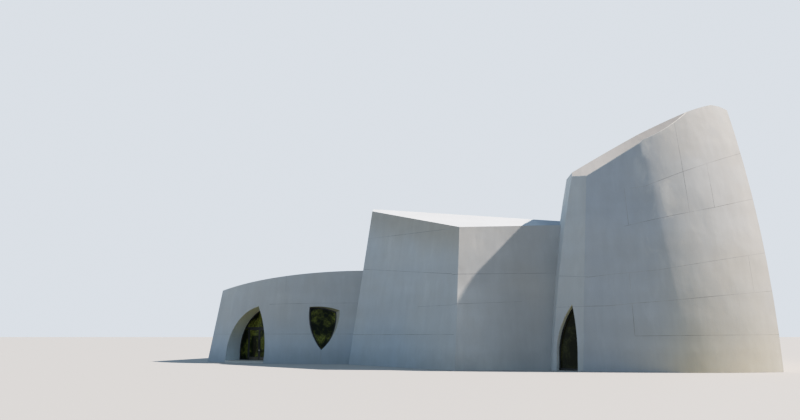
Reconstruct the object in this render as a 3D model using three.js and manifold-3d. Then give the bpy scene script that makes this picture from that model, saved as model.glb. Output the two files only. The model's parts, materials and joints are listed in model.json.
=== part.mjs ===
// A modern church of three interlocking leaning masses: a low entrance wing, a prow-shaped
// middle hall and a tall sanctuary with a curved sail wall. Millimetres, +Z up.
// X runs along the street front, Y runs from the street into the building.
// Plan points are measured from the foot of the hall's prow.
import * as THREE from 'three';
import { mergeVertices } from 'three/addons/utils/BufferGeometryUtils.js';
import Module from 'manifold-3d';

const wasm = await Module();
wasm.setup();

// Driving dimensions
const WALL = 500;             // wall thickness
const ROOF = 350;             // roof build-up, measured straight down
const FLOOR = 120;            // floor slab
const SEAT = 0.3;             // gap kept between pieces that touch
const FAR = 60000;            // longer than the whole building

const WING_LEAN = 0.15;       // inward lean of the wing's walls, per unit of height
const HALL_LEAN = 0.142;      // the same for the hall
const SANCTUARY_BOW = 300;    // how far the sanctuary's walls swell at half height

const WING_TOP = 7000;        // heights to which the walls are drawn before the roofs cut them
const HALL_TOP = 11000;
const SANCTUARY_TOP = 14200;
const SANCTUARY_LAYERS = 8;   // rings between its foot and its drawing height
const FOLD_LAYERS = 7;        // the narrow folded wall is drawn lower than its neighbours

const WING_EAVES = { x: -5110, y: 7500, z: 5850, slopeX: 0.0456, slopeY: -0.2 };
const HALL_EAVES = { x: 0, y: 1000, z: 7370, slopeX: 0, slopeY: 0.3625 };
const HALL_RIDGE = { x: -3610, y: 7480, turn: -0.45, fall: 0.45 };
const PEAK = { x: 14200, y: 400, z: 14116, drop: 321.8, power: 1.2, fall: 0.06 };
const FACETS = [
  { x: 7030, y: 430, z: 10021, slopeX: 0.811, slopeY: 1.57 },
  { x: 9970, y: 130, z: 11890, slopeX: 0.41, slopeY: 1.45 },
];

const PORCH_PLACE = { side: 'front', along: 0.272, tilt: 0 };
const PORCH_DEPTH = { screen: 1450, back: 1650, lining: 200 };
const ARCH = { left: -1620, right: 1620, apexX: 720, apexZ: 3600, leftSpring: 700, rightSpring: 300 };
const ARCH_PIER = 2050;       // half width of the two wall pieces that hold the arch

const FRAME = { face: 60, depth: 120, glass: 24 };
const DOORWAY = { left: -860, right: 980, top: 2194, post: 60, transom: 80 };
const LEAF = { gap: 6, floorGap: 8, thick: 45, stile: 75, topRail: 90, bottomRail: 200, glass: 12 };
const HINGE = { radius: 9, knuckle: 50, plate: 34, reach: 12, proud: 10, heights: [260, 1100, 1940] };
const PULL = { radius: 15, bottom: 850, length: 600, standOff: 60 };

const SHIELD_PLACE = { side: 'front', along: 0.687, tilt: 8.5 };
const SHIELD = { glassAt: 260, splay: 300, splayDrop: 60 };
const SHIELD_TOP = { left: -940, leftZ: 3550, right: 1030, rightZ: 3340, rise: 100 };
const SHIELD_POINT = { x: -80, z: 840, bulge: 300 };

const LANCET_PLACE = { side: 'fold', along: 0.49, tilt: 5.4 };
const LANCET = { left: -525, right: 525, apexX: 250, apexZ: 3270, leftSpring: 900, rightSpring: 700 };
const LANCET_WINDOW = { foot: 70, glassAt: 400 };
const REAR_LANCET_PLACE = { side: 'back', along: 0.5, tilt: 2.5 };
const REAR_LANCET = { left: -600, right: 600, apexX: 0, apexZ: 5200, leftSpring: 1200, rightSpring: 1200 };
const REAR_LANCET_WINDOW = { foot: 70, glassAt: 380 };
const WING_PASSAGE_PLACE = { side: 'left', along: 0.49, tilt: 0 };
const WING_PASSAGE = { width: 3600, height: 2800 };
const HALL_PASSAGE_PLACE = { side: 'left', along: 0.52, tilt: 0 };
const HALL_PASSAGE = { width: 4600, height: 3600 };

// Plan outlines, anticlockwise from above. Each side runs from its own corner to the next,
// and `rise` is how far it bulges outwards.
const WING_SIDES = [
  { name: 'front', x: -15610, y: 10350, rise: 1642, steps: 32 },
  { name: 'inHall', x: -3370, y: 7060, rise: 0, steps: 1 },
  { name: 'back', x: -3210, y: 16700, rise: 250, steps: 8 },
  { name: 'end', x: -14610, y: 17500, rise: 0, steps: 1 },
];
const HALL_SIDES = [
  { name: 'frontLeft', x: -5810, y: 6400, rise: 0, steps: 1 },
  { name: 'frontRight', x: 0, y: 0, rise: 0, steps: 1 },
  { name: 'inSanctuary', x: 8290, y: 840, rise: 0, steps: 1 },
  { name: 'backRight', x: 12290, y: 14600, rise: 0, steps: 1 },
  { name: 'backLeft', x: 1790, y: 19700, rise: 0, steps: 1 },
  { name: 'left', x: -5810, y: 17100, rise: 0, steps: 1 },
];
const SANCTUARY_SIDES = [
  { name: 'fold', x: 4840, y: 200, rise: 0, steps: 2, topX: 7335, topY: 1250, topRise: 0 },
  { name: 'front', x: 6100, y: -700, rise: 0, steps: 4, topX: 7510, topY: 1226, topRise: 0 },
  { name: 'sail', x: 10470, y: -1630, rise: 268, steps: 14, topX: 9522, topY: 677, topRise: 270 },
  { name: 'side', x: 15510, y: -1050, rise: 1000, steps: 16, topX: 14952, topY: 1217, topRise: 800 },
  { name: 'back', x: 16890, y: 14100, rise: 400, steps: 8, topX: 15774, topY: 12680, topRise: 300 },
  { name: 'left', x: 10490, y: 16100, rise: 200, steps: 6, topX: 11403, topY: 14376, topRise: 100 },
  { name: 'return', x: 4890, y: 1400, rise: 0, steps: 1, topX: 7405, topY: 2414, topRise: 0 },
];

// Plane geometry
const at = (x, y) => new THREE.Vector2(x, y);
const outward = (from, to) => at(to.y - from.y, from.x - to.x).normalize();

// Points from a to b on an arc that bulges outwards by rise, without b itself
function arc(a, b, rise, steps) {
  const points = [];
  const chord = b.clone().sub(a);
  const half = chord.length() / 2;
  const normal = outward(a, b);
  const middle = a.clone().add(b).multiplyScalar(0.5);
  for (let i = 0; i < steps; i++) {
    if (rise === 0) {
      points.push(a.clone().lerp(b, i / steps));
      continue;
    }
    const radius = (half * half + rise * rise) / (2 * rise);
    const swing = Math.asin(half / radius);
    const angle = swing * (2 * i / steps - 1);
    points.push(middle.clone()
      .addScaledVector(normal, radius * Math.cos(angle) - radius + rise)
      .addScaledVector(chord, radius * Math.sin(angle) / (2 * half)));
  }
  return points;
}

// The line or circle that one side of an outline lies on
function curveOf(corner, next) {
  const a = at(corner.x, corner.y);
  const b = at(next.x, next.y);
  const normal = outward(a, b);
  if (corner.rise === 0) return { away: () => normal, reach: (p) => p.clone().sub(a).dot(normal) };
  const half = a.distanceTo(b) / 2;
  const radius = (half * half + corner.rise * corner.rise) / (2 * corner.rise);
  const centre = a.add(b).multiplyScalar(0.5).addScaledVector(normal, corner.rise - radius);
  return {
    radius,
    away: (p) => p.clone().sub(centre).normalize(),
    reach: (p) => p.distanceTo(centre) - radius,
  };
}

// The point near start that lies the same distance outside two curves
function meet(first, second, start, distance) {
  const p = start.clone();
  for (let round = 0; round < 8; round++) {
    const [m, n] = [first.away(p), second.away(p)];
    const [u, v] = [distance - first.reach(p), distance - second.reach(p)];
    const cross = m.x * n.y - m.y * n.x;
    p.add(at((u * n.y - v * m.y) / cross, (v * m.x - u * n.x) / cross));
  }
  return p;
}

// An outline moved inwards by the same distance on every side
function inset(outline, distance) {
  const curves = outline.map((corner, i) => curveOf(corner, outline[(i + 1) % outline.length]));
  const corners = outline.map((corner, i) =>
    meet(curves.at(i - 1), curves[i], at(corner.x, corner.y), -distance));
  return corners.map((corner, i) => {
    const half = corner.distanceTo(corners[(i + 1) % corners.length]) / 2;
    const radius = curves[i].radius - distance;
    const rise = curves[i].radius ? radius - Math.sqrt(radius * radius - half * half) : 0;
    return { ...outline[i], x: corner.x, y: corner.y, rise };
  });
}

const ringOf = (outline) => outline.flatMap((corner, i) => {
  const next = outline[(i + 1) % outline.length];
  return arc(at(corner.x, corner.y), at(next.x, next.y), corner.rise, corner.steps);
});

// A mass: its outline at the ground and at its drawing height
function mass(sides, height, lean, bow = 0, layers = 1) {
  const raised = sides.map((side) => ({ ...side, x: side.topX, y: side.topY, rise: side.topRise }));
  return { base: sides, top: lean === 0 ? raised : inset(sides, lean * height), height, bow, layers };
}

function outlineAt(body, z, depth = 0) {
  const t = z / body.height;
  const blend = (a, b) => a + (b - a) * t;
  const outline = body.base.map((corner, i) => ({
    ...corner,
    x: blend(corner.x, body.top[i].x),
    y: blend(corner.y, body.top[i].y),
    rise: blend(corner.rise, body.top[i].rise),
  }));
  return inset(outline, depth - body.bow * 4 * t * (1 - t));
}

// A frame that stands on one side of a mass, X along the wall and Y into the building
function placeOn(body, { side, along, tilt }) {
  const steps = 1000;
  const i = body.base.findIndex((corner) => corner.name === side);
  const [corner, next] = [body.base[i], body.base[(i + 1) % body.base.length]];
  const points = arc(at(corner.x, corner.y), at(next.x, next.y), corner.rise, steps);
  const here = points[Math.round(along * steps)];
  const tangent = points[Math.round(along * steps) + 1].clone().sub(here);
  return { x: here.x, y: here.y, turn: THREE.MathUtils.radToDeg(tangent.angle()), tilt };
}

// Solids
function solid(geometry) {
  const bare = geometry.clone();
  bare.deleteAttribute('normal');
  bare.deleteAttribute('uv');
  const merged = mergeVertices(bare, 1e-3);
  return new wasm.Manifold(new wasm.Mesh({
    numProp: 3,
    vertProperties: new Float32Array(merged.attributes.position.array),
    triVerts: new Uint32Array(merged.index.array),
  }));
}

// A closed skin over rings of equal length, each convex or a band of two parallel edges.
// The caps are strips that zigzag between the two halves of a ring. Sides from `flipped` on
// are split along their other diagonal, so that neighbouring bands share every edge.
function loft(rings, flipped = rings[0].length) {
  const count = rings[0].length;
  const last = (rings.length - 1) * count;
  const positions = rings.flat().flatMap((p) => [p.x, p.y, p.z]);
  const faces = [];
  for (let k = 0; k < rings.length - 1; k++) {
    for (let i = 0; i < count; i++) {
      const j = (i + 1) % count;
      const [a, b, c, d] = [k * count + i, k * count + j, (k + 1) * count + j, (k + 1) * count + i];
      faces.push(...(i < flipped ? [a, b, c, a, c, d] : [a, b, d, b, c, d]));
    }
  }
  const cap = (a, b, c) => faces.push(a, c, b, last + a, last + b, last + c);
  for (let low = 0, high = count - 1; high - low >= 2; low++, high--) {
    cap(low, low + 1, high);
    if (high - low >= 3) cap(low + 1, high - 1, high);
  }
  const geometry = new THREE.BufferGeometry();
  geometry.setAttribute('position', new THREE.Float32BufferAttribute(positions, 3));
  geometry.setIndex(faces);
  return solid(geometry);
}

const raise = (ring, z) => ring.map((p) => new THREE.Vector3(p.x, p.y, z));

// Heights of the rings that a mass is drawn through
function levels(body, count = body.layers) {
  return Array.from({ length: count + 1 }, (_, k) => body.height * k / body.layers);
}

// The whole mass, shrunk by depth on every side and carried on straight below the ground
function hull(body, depth, skirt = 0) {
  const rings = levels(body).map((z) => raise(ringOf(outlineAt(body, z, depth)), z));
  const foot = skirt === 0 ? [] : [raise(ringOf(outlineAt(body, 0, depth)), -skirt)];
  return loft([...foot, ...rings]);
}

// One wall: the band between the outer and inner faces of a side, or of a fraction of it
function wall(body, side, first = 0, last = 1, layers = body.layers) {
  const index = body.base.findIndex((corner) => corner.name === side);
  const start = body.base.slice(0, index).reduce((sum, corner) => sum + corner.steps, 0);
  const from = start + Math.round(body.base[index].steps * first);
  const to = start + Math.round(body.base[index].steps * last);
  const stretch = (ring) => {
    const points = [];
    for (let i = from; i <= to; i++) points.push(ring[i % ring.length].clone());
    const nudge = (p, q) => p.add(q.clone().sub(p).setLength(SEAT / 2));
    nudge(points[0], points[1]);
    nudge(points.at(-1), points.at(-2));
    return points;
  };
  return loft(levels(body, layers).map((z) => {
    const outer = stretch(ringOf(outlineAt(body, z)));
    const inner = stretch(ringOf(outlineAt(body, z, WALL)));
    return raise([...outer, ...inner.reverse()], z);
  }), to - from + 1);
}

function box(x0, x1, y0, y1, z0, z1) {
  const geometry = new THREE.BoxGeometry(x1 - x0, y1 - y0, z1 - z0);
  geometry.translate((x0 + x1) / 2, (y0 + y1) / 2, (z0 + z1) / 2);
  return solid(geometry);
}

function rod(x, y, z0, z1, radius, steps = 16) {
  const geometry = new THREE.CylinderGeometry(radius, radius, z1 - z0, steps);
  geometry.rotateX(Math.PI / 2);
  geometry.translate(x, y, (z0 + z1) / 2);
  return solid(geometry);
}

// Everything below a surface z = height(x, y), drawn on strips along X
function below(height, lowered, strips = 1) {
  const x = (i) => -FAR / 2 + FAR * i / strips;
  const ring = (i) => [
    new THREE.Vector3(x(i), -FAR / 2, -FAR),
    new THREE.Vector3(x(i), -FAR / 2, height(x(i), -FAR / 2) - lowered),
    new THREE.Vector3(x(i), FAR / 2, height(x(i), FAR / 2) - lowered),
    new THREE.Vector3(x(i), FAR / 2, -FAR),
  ];
  return loft(Array.from({ length: strips + 1 }, (_, i) => ring(strips - i)));
}

// The floor slab between a mass's walls
const floorOf = (body) => hull(body, WALL + SEAT)
  .intersect(box(-FAR, FAR, -FAR, FAR, -1, FLOOR));

// A solid moved into a frame that stands on the ground, tilted back and turned
function placed(piece, spot) {
  return piece.rotate([-spot.tilt, 0, spot.turn]).translate([spot.x, spot.y, 0]);
}

// A prism between two upright outlines drawn in X and Z, the first at the back
function prism(backRing, backY, frontRing, frontY) {
  const stand = (ring, y) => ring.map((p) => new THREE.Vector3(p.x, y, p.y));
  return loft([stand(backRing, backY), stand(frontRing, frontY)]);
}

const slab = (ring, y0, y1) => prism(ring, y1, ring, y0);

// Upright outlines, anticlockwise as seen from the front
function archSide(baseX, apexX, apexZ, spring, steps) {
  const reach = Math.abs(apexX - baseX);
  const climb = apexZ - spring;
  const radius = (reach * reach + climb * climb) / (2 * reach);
  const sweep = Math.asin(climb / radius);
  const sign = Math.sign(apexX - baseX);
  return Array.from({ length: steps }, (_, i) => {
    const angle = sweep * i / steps;
    return at(baseX + sign * radius * (1 - Math.cos(angle)), spring + radius * Math.sin(angle));
  });
}

function lancet({ left, right, apexX, apexZ, leftSpring, rightSpring }, foot = 0) {
  const steps = 12;
  return [
    at(left, foot), at(right, foot),
    ...archSide(right, apexX, apexZ, rightSpring, steps),
    at(apexX, apexZ),
    ...archSide(left, apexX, apexZ, leftSpring, steps).reverse(),
  ];
}

// An upright outline moved inwards by the same distance along its mitres
function shrink(ring, distance) {
  return ring.map((point, i) => {
    const before = outward(ring.at(i - 1), point);
    const after = outward(point, ring[(i + 1) % ring.length]);
    const sum = before.add(after);
    return point.clone().addScaledVector(sum, -2 * distance / sum.lengthSq());
  });
}

function shield(splay, splayDrop) {
  const topLeft = at(SHIELD_TOP.left, SHIELD_TOP.leftZ);
  const topRight = at(SHIELD_TOP.right - splay, SHIELD_TOP.rightZ - splayDrop);
  const point = at(SHIELD_POINT.x, SHIELD_POINT.z);
  return [
    ...arc(topLeft, point, SHIELD_POINT.bulge, 8),
    ...arc(point, topRight, SHIELD_POINT.bulge, 8),
    ...arc(topRight, topLeft, SHIELD_TOP.rise, 6),
  ];
}

// Masses and roofs
const wing = mass(WING_SIDES, WING_TOP, WING_LEAN);
const hall = mass(HALL_SIDES, HALL_TOP, HALL_LEAN);
const sanctuary = mass(SANCTUARY_SIDES, SANCTUARY_TOP, 0, SANCTUARY_BOW, SANCTUARY_LAYERS);

const wingHull = hull(wing, 0);
const hallHull = hull(hall, 0);
const sanctuaryHull = hull(sanctuary, 0);
const hallKeep = hull(hall, -SEAT, FLOOR);
const sanctuaryKeep = hull(sanctuary, -SEAT, FLOOR);
const porch = placeOn(wing, PORCH_PLACE);
const shieldSpot = placeOn(wing, SHIELD_PLACE);
const lancetSpot = placeOn(sanctuary, LANCET_PLACE);
const rearLancetSpot = placeOn(sanctuary, REAR_LANCET_PLACE);
const wingPassageSpot = placeOn(hall, WING_PASSAGE_PLACE);
const hallPassageSpot = placeOn(sanctuary, HALL_PASSAGE_PLACE);

const pitch = (plane) => (x, y) => plane.z + plane.slopeX * (x - plane.x)
  + plane.slopeY * (y - plane.y);
const hallFrontHeight = pitch(HALL_EAVES);
const hallBackHeight = (x, y) => hallFrontHeight(x, y)
  - HALL_RIDGE.fall * (y - HALL_RIDGE.y - HALL_RIDGE.turn * (x - HALL_RIDGE.x));
const peakHeight = (x, y) => PEAK.z - PEAK.fall * (y - PEAK.y)
  - PEAK.drop * Math.abs((x - PEAK.x) / 1000) ** PEAK.power;

const underWingRoof = (lowered) => below(pitch(WING_EAVES), lowered);
const underHallRoof = (lowered) => below(hallFrontHeight, lowered)
  .intersect(below(hallBackHeight, lowered));
const underSanctuaryRoof = (lowered) => FACETS.reduce(
  (sum, facet) => sum.intersect(below(pitch(facet), lowered)), below(peakHeight, lowered, 120));

const WALL_HEAD = ROOF + SEAT;
const wingWalls = underWingRoof(WALL_HEAD).subtract(hallKeep);
const hallWalls = underHallRoof(WALL_HEAD).subtract(sanctuaryKeep);
const sanctuaryWalls = underSanctuaryRoof(WALL_HEAD);

// Materials
const finish = (color, roughness, metalness = 0) => ({ color, roughness, metalness });
const CONCRETE = finish(0xb4b3ae, 0.9);
const ROOFING = finish(0xf2efe8, 0.8);
const PAVING = finish(0x9c9a94, 0.9);
const BRONZE = finish(0x1c1d1f, 0.45, 0.6);
const GLASS = finish(0x1a211c, 0.08);

const church = new THREE.Group();

function add(name, piece, look) {
  const { vertProperties, triVerts } = piece.getMesh();
  const geometry = new THREE.BufferGeometry();
  geometry.setAttribute('position', new THREE.Float32BufferAttribute(vertProperties, 3));
  geometry.setIndex(Array.from(triVerts));
  const mesh = new THREE.Mesh(geometry, new THREE.MeshStandardMaterial(look));
  mesh.name = name;
  church.add(mesh);
}

// Splits a wall beside and over an opening that stands in its own frame
function splitAround(piece, spot, halfWidth, height) {
  const side = (x0, x1) => piece.intersect(placed(box(x0, x1, -FAR / 4, FAR / 4, -1, FAR / 4), spot));
  const over = side(-halfWidth, halfWidth)
    .subtract(placed(box(-FAR, FAR, -FAR, FAR, -FAR, height), spot));
  return { left: side(-FAR / 4, -halfWidth - SEAT), over, right: side(halfWidth + SEAT, FAR / 4) };
}

// Entrance wing
const archRing = lancet(ARCH);
const archCut = placed(prism(archRing, PORCH_DEPTH.back + 1000, archRing, -2000), porch);
const shieldCut = placed(prism(
  shield(SHIELD.splay, SHIELD.splayDrop), SHIELD.glassAt, shield(0, 0), 0), shieldSpot)
  .add(placed(slab(shield(0, 0), -900, 0), shieldSpot))
  .add(placed(slab(shield(SHIELD.splay, SHIELD.splayDrop), SHIELD.glassAt, 1200), shieldSpot));

function addWing() {
  const front = wall(wing, 'front').intersect(wingWalls).subtract(archCut);
  const slice = (x0, x1) => front.intersect(
    placed(box(x0, x1, -FAR / 4, 4000, -1, FAR / 4), porch));
  add('wing_front_wall_left', slice(-FAR / 4, -ARCH_PIER - SEAT), CONCRETE);
  add('wing_arch_wall_left', slice(-ARCH_PIER, ARCH.apexX), CONCRETE);
  add('wing_arch_wall_right', slice(ARCH.apexX + SEAT, ARCH_PIER), CONCRETE);
  add('wing_front_wall_right', slice(ARCH_PIER + SEAT, FAR / 4).subtract(shieldCut), CONCRETE);
  add('wing_end_wall', wall(wing, 'end').intersect(wingWalls), CONCRETE);
  add('wing_back_wall', wall(wing, 'back').intersect(wingWalls), CONCRETE);
  add('wing_roof', wingHull.intersect(underWingRoof(0)).subtract(underWingRoof(ROOF))
    .subtract(hallKeep), ROOFING);
  const sleeveWall = PORCH_DEPTH.lining + SEAT;
  const porchBlock = placed(box(ARCH.left - sleeveWall, ARCH.right + sleeveWall,
    -2000, PORCH_DEPTH.back + SEAT, -1, 3000), porch);
  add('wing_floor', floorOf(wing).subtract(hallKeep).subtract(porchBlock), PAVING);
}

// Porch: the arch is lined back to the glazed screen
function addPorch() {
  const outer = shrink(archRing, -PORCH_DEPTH.lining).map((p) => at(p.x, Math.max(p.y, 0)));
  const sleeve = placed(prism(outer, PORCH_DEPTH.back, outer, -1000)
    .subtract(prism(archRing, PORCH_DEPTH.back + 100, archRing, -1100)), porch)
    .intersect(hull(wing, WALL + SEAT));
  const half = (x0, x1) => sleeve.intersect(placed(box(x0, x1, -3000, 3000, -1, 9000), porch));
  add('porch_lining_left', half(-3000, ARCH.apexX), CONCRETE);
  add('porch_lining_right', half(ARCH.apexX + SEAT, 3000), CONCRETE);
  const within = shrink(archRing, SEAT);
  add('porch_floor', placed(prism(within, PORCH_DEPTH.back, within, -2000)
    .intersect(box(-3000, 3000, -3000, 3000, 0, FLOOR)), porch).intersect(wingHull), PAVING);
}

// Glazed entrance screen with its pair of doors
const SCREEN_FRONT = PORCH_DEPTH.screen;
const SCREEN_BACK = PORCH_DEPTH.screen + FRAME.depth;
const screenRing = shrink(archRing, SEAT);
const lightRing = shrink(archRing, FRAME.face);

function addScreen() {
  const postLeft = DOORWAY.left - DOORWAY.post;
  const postRight = DOORWAY.right + DOORWAY.post;
  const headTop = DOORWAY.top + DOORWAY.transom;
  const foot = FLOOR + FRAME.face;
  const lights = {
    entrance_glass_over: [-3000, 3000, headTop, 4000],
    entrance_glass_left: [-3000, postLeft, foot, DOORWAY.top],
    entrance_glass_right: [postRight, 3000, foot, DOORWAY.top],
  };
  const bay = ([x0, x1, z0, z1], slack, y0, y1) =>
    box(x0 + slack, x1 - slack, y0, y1, z0 + slack, z1 - slack);
  let frame = slab(screenRing, SCREEN_FRONT, SCREEN_BACK)
    .subtract(box(-3000, 3000, 0, 3000, -10, FLOOR + SEAT))
    .subtract(box(DOORWAY.left, DOORWAY.right, 0, 3000, -10, DOORWAY.top));
  const middle = (SCREEN_FRONT + SCREEN_BACK) / 2;
  for (const [name, reach] of Object.entries(lights)) {
    frame = frame.subtract(slab(lightRing, 0, 3000).intersect(bay(reach, 0, 0, 3000)));
    add(name, placed(slab(shrink(lightRing, SEAT), 0, 3000)
      .intersect(bay(reach, SEAT, middle - FRAME.glass / 2, middle + FRAME.glass / 2)), porch), GLASS);
  }
  for (const side of [-1, 1]) {
    frame = frame.add(knuckles(side, false));
  }
  add('entrance_frame', placed(frame, porch), BRONZE);
}

// Hinge knuckles of one side, on the post or on the leaf that turns about the same pin
const pinX = (side) => (side < 0 ? DOORWAY.left + LEAF.gap / 2 : DOORWAY.right - LEAF.gap / 2);
const PIN_Y = SCREEN_FRONT - HINGE.proud;

function knuckles(side, onLeaf) {
  const x = pinX(side);
  const pieces = HINGE.heights.map((height) => {
    const z0 = height + (onLeaf ? HINGE.knuckle + SEAT : 0);
    const inward = onLeaf ? -side : side;
    const edges = [x + inward * LEAF.gap / 2, x + inward * HINGE.plate].sort((a, b) => a - b);
    const reach = onLeaf ? HINGE.reach + LEAF.gap : HINGE.reach;
    const plate = box(edges[0] - 3, edges[1] + 3, PIN_Y, PIN_Y + reach, z0, z0 + HINGE.knuckle);
    return rod(x, PIN_Y, z0, z0 + HINGE.knuckle, HINGE.radius).add(plate);
  });
  return pieces.reduce((sum, piece) => sum.add(piece));
}

function addLeaf(name, side) {
  const centre = (DOORWAY.left + DOORWAY.right) / 2;
  const hingeEdge = side < 0 ? DOORWAY.left + LEAF.gap : DOORWAY.right - LEAF.gap;
  const meetingEdge = centre + side * LEAF.gap / 2;
  const [x0, x1] = [hingeEdge, meetingEdge].sort((a, b) => a - b);
  const z0 = FLOOR + LEAF.floorGap;
  const z1 = DOORWAY.top - LEAF.gap;
  const y0 = SCREEN_FRONT + LEAF.gap / 2;
  const y1 = y0 + LEAF.thick;
  const light = [x0 + LEAF.stile, x1 - LEAF.stile, z0 + LEAF.bottomRail, z1 - LEAF.topRail];
  const pullX = meetingEdge + side * LEAF.stile / 2;
  let leaf = box(x0, x1, y0, y1, z0, z1)
    .subtract(box(light[0], light[1], 0, 3000, light[2], light[3]))
    .add(knuckles(side, true));
  for (const face of [y0 - PULL.standOff, y1 + PULL.standOff]) {
    const inner = face < y0 ? y0 + 5 : y1 - 5;
    leaf = leaf.add(rod(pullX, face, PULL.bottom, PULL.bottom + PULL.length, PULL.radius));
    for (const z of [PULL.bottom + 60, PULL.bottom + PULL.length - 60]) {
      leaf = leaf.add(box(pullX - 8, pullX + 8, Math.min(face, inner), Math.max(face, inner), z - 8, z + 8));
    }
  }
  add(name, placed(leaf, porch), BRONZE);
  const middle = (y0 + y1) / 2;
  add(`${name}_glass`, placed(box(light[0] + SEAT, light[1] - SEAT, middle - LEAF.glass / 2,
    middle + LEAF.glass / 2, light[2] + SEAT, light[3] - SEAT), porch), GLASS);
}

// A fixed window: frame and pane in an opening's frame of reference
function addWindow(name, ring, spot, glassAt, opening) {
  const front = glassAt - FRAME.depth / 2;
  const back = glassAt + FRAME.depth / 2;
  const hole = shrink(ring, FRAME.face);
  const pane = shrink(ring, FRAME.face + SEAT);
  const frame = slab(ring, front, back).subtract(slab(hole, front - 10, back + 10));
  add(`${name}_frame`, placed(frame, spot).intersect(opening), BRONZE);
  const glass = slab(pane, glassAt - FRAME.glass / 2, glassAt + FRAME.glass / 2);
  add(`${name}_glass`, placed(glass, spot), GLASS);
}

// Middle hall
function addHall() {
  const built = (side) => wall(hall, side).intersect(hallWalls);
  add('hall_front_left_wall', built('frontLeft'), CONCRETE);
  add('hall_front_right_wall', built('frontRight'), CONCRETE);
  add('hall_back_right_wall', built('backRight'), CONCRETE);
  add('hall_back_left_wall', built('backLeft'), CONCRETE);
  const parts = splitAround(built('left'), wingPassageSpot, WING_PASSAGE.width / 2, WING_PASSAGE.height);
  add('hall_left_wall_back', parts.left, CONCRETE);
  add('hall_left_wall_over', parts.over, CONCRETE);
  add('hall_left_wall_front', parts.right, CONCRETE);
  add('hall_roof', hallHull.intersect(underHallRoof(0)).subtract(underHallRoof(ROOF))
    .subtract(sanctuaryKeep), ROOFING);
  const sill = placed(box(-WING_PASSAGE.width / 2 + SEAT, WING_PASSAGE.width / 2 - SEAT,
    -1500, 1500, 0, FLOOR), wingPassageSpot).intersect(hull(hall, SEAT));
  add('hall_floor', floorOf(hall).add(sill).subtract(sanctuaryKeep), PAVING);
}

// Sanctuary
function addSanctuary() {
  const built = (...stretch) => wall(sanctuary, ...stretch).intersect(sanctuaryWalls);
  const lancetCut = placed(slab(lancet(LANCET), -1500, 1500), lancetSpot);
  const fold = built('fold', 0, 1, FOLD_LAYERS).subtract(lancetCut);
  const half = (x0, x1) => fold.intersect(placed(box(x0, x1, -3000, 3000, -1, FAR / 4), lancetSpot));
  add('sanctuary_fold_wall_left', half(-3000, LANCET.apexX), CONCRETE);
  add('sanctuary_fold_wall_right', half(LANCET.apexX + SEAT, 3000), CONCRETE);
  addWindow('lancet_window', shrink(lancet(LANCET, LANCET_WINDOW.foot), SEAT), lancetSpot,
    LANCET_WINDOW.glassAt, sanctuaryHull);
  addWindow('rear_lancet_window', shrink(lancet(REAR_LANCET, REAR_LANCET_WINDOW.foot), SEAT),
    rearLancetSpot, REAR_LANCET_WINDOW.glassAt, sanctuaryHull);
  add('sanctuary_front_wall', built('front'), CONCRETE);
  add('sanctuary_sail_wall_left', built('sail', 0, 0.5), CONCRETE);
  add('sanctuary_sail_wall_right', built('sail', 0.5, 1), CONCRETE);
  add('sanctuary_side_wall_front', built('side', 0, 0.5), CONCRETE);
  add('sanctuary_side_wall_back', built('side', 0.5, 1), CONCRETE);
  const rear = built('back')
    .subtract(placed(slab(lancet(REAR_LANCET), -1500, 1500), rearLancetSpot));
  const rearHalf = (x0, x1) => rear.intersect(
    placed(box(x0, x1, -3000, 3000, -1, FAR / 4), rearLancetSpot));
  add('sanctuary_back_wall_right', rearHalf(-FAR / 4, 0), CONCRETE);
  add('sanctuary_back_wall_left', rearHalf(SEAT, FAR / 4), CONCRETE);
  add('sanctuary_return_wall', built('return').subtract(lancetCut), CONCRETE);
  const parts = splitAround(built('left'), hallPassageSpot, HALL_PASSAGE.width / 2, HALL_PASSAGE.height);
  add('sanctuary_left_wall_back', parts.left, CONCRETE);
  add('sanctuary_left_wall_over', parts.over, CONCRETE);
  add('sanctuary_left_wall_front', parts.right, CONCRETE);
  add('sanctuary_roof', sanctuaryHull.intersect(underSanctuaryRoof(0))
    .subtract(underSanctuaryRoof(ROOF)), ROOFING);
  const sill = placed(box(-HALL_PASSAGE.width / 2 + SEAT, HALL_PASSAGE.width / 2 - SEAT,
    -1500, 1500, 0, FLOOR), hallPassageSpot).intersect(hull(sanctuary, SEAT));
  add('sanctuary_floor', floorOf(sanctuary).add(sill), PAVING);
}

addWing();
addPorch();
addScreen();
addLeaf('entrance_door_left', -1);
addLeaf('entrance_door_right', 1);
addWindow('shield_window', shrink(shield(SHIELD.splay, SHIELD.splayDrop), SEAT), shieldSpot,
  SHIELD.glassAt + FRAME.depth / 2, wingHull);
addHall();
addSanctuary();

// The origin is on the ground, at the middle of the building's length and depth
const extent = new THREE.Box3().setFromObject(church);
const middle = extent.getCenter(new THREE.Vector3());
church.position.set(-middle.x, -middle.y, 0);

export default church;
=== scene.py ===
import json
import math
from collections import defaultdict

import bmesh
import bpy
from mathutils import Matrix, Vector
from mathutils.bvhtree import BVHTree


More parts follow.
